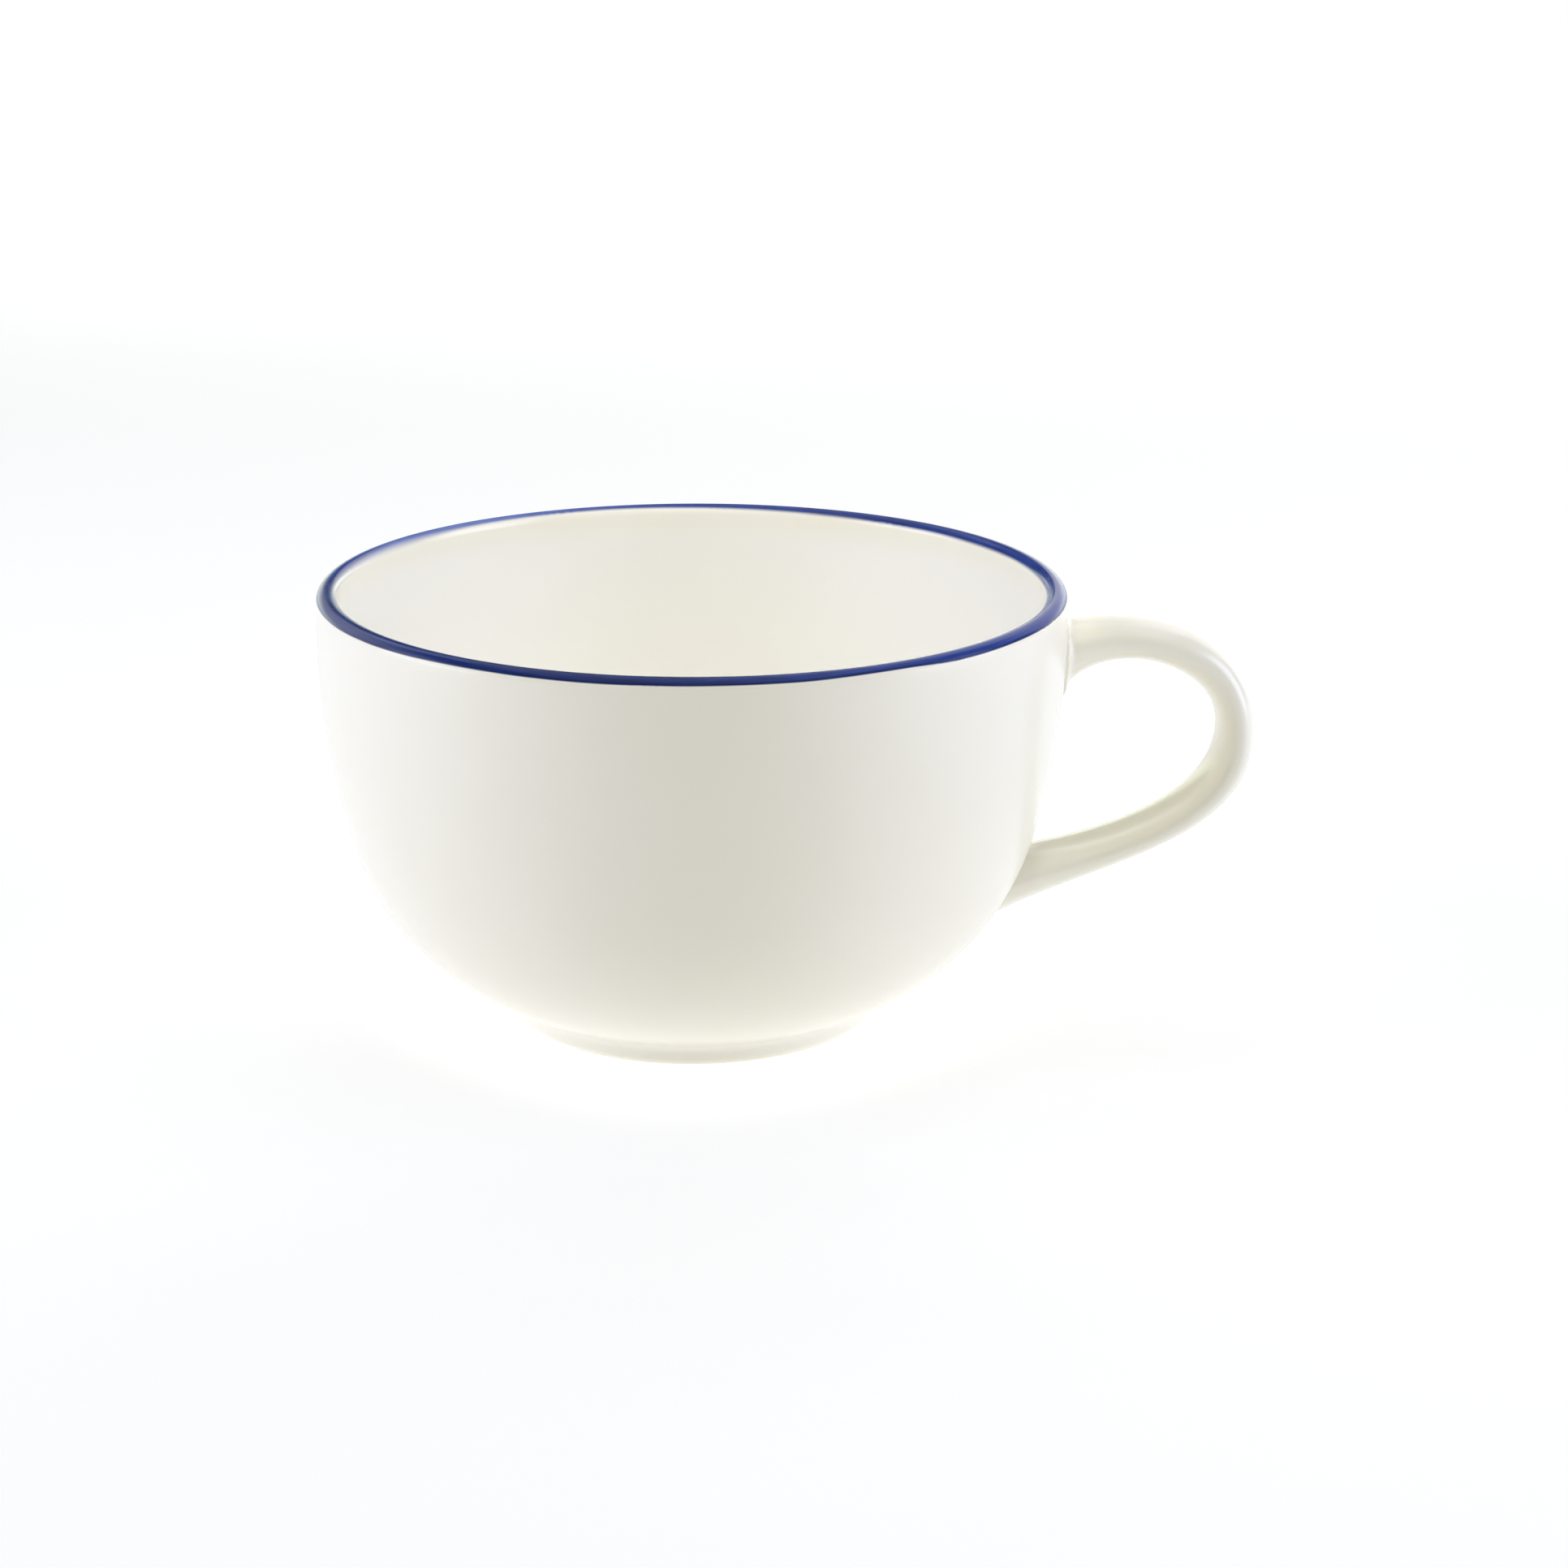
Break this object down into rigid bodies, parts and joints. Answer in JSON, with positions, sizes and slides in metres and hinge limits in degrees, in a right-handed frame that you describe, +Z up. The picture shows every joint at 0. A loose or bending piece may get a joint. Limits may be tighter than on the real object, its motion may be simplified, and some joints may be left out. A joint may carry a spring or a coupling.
{
  "type": "coffee cup",
  "caption": "Low, wide coffee cup of white glazed porcelain with a turned foot ring, an ear-shaped handle luted to its side and a blue band over the lip.",
  "frame": {"origin": "centre of the foot ring, on the surface the cup stands on", "axes": "+Z up along the bowl's axis, +X from the bowl's axis towards the handle, +Y to the left of someone looking along +X"},
  "size_m": [0.1201, 0.0952, 0.0564],
  "materials": {
    "porcelain": "clear gloss glaze over ivory-white porcelain",
    "cobalt_band": "gloss cobalt blue, fired into the glaze"
  },
  "bodies": {
    "root": {"bowl": "porcelain", "handle": "porcelain", "upper_slip_joint": "porcelain", "lower_slip_joint": "porcelain", "rim_band": "cobalt_band"}
  },
  "joints": []
}
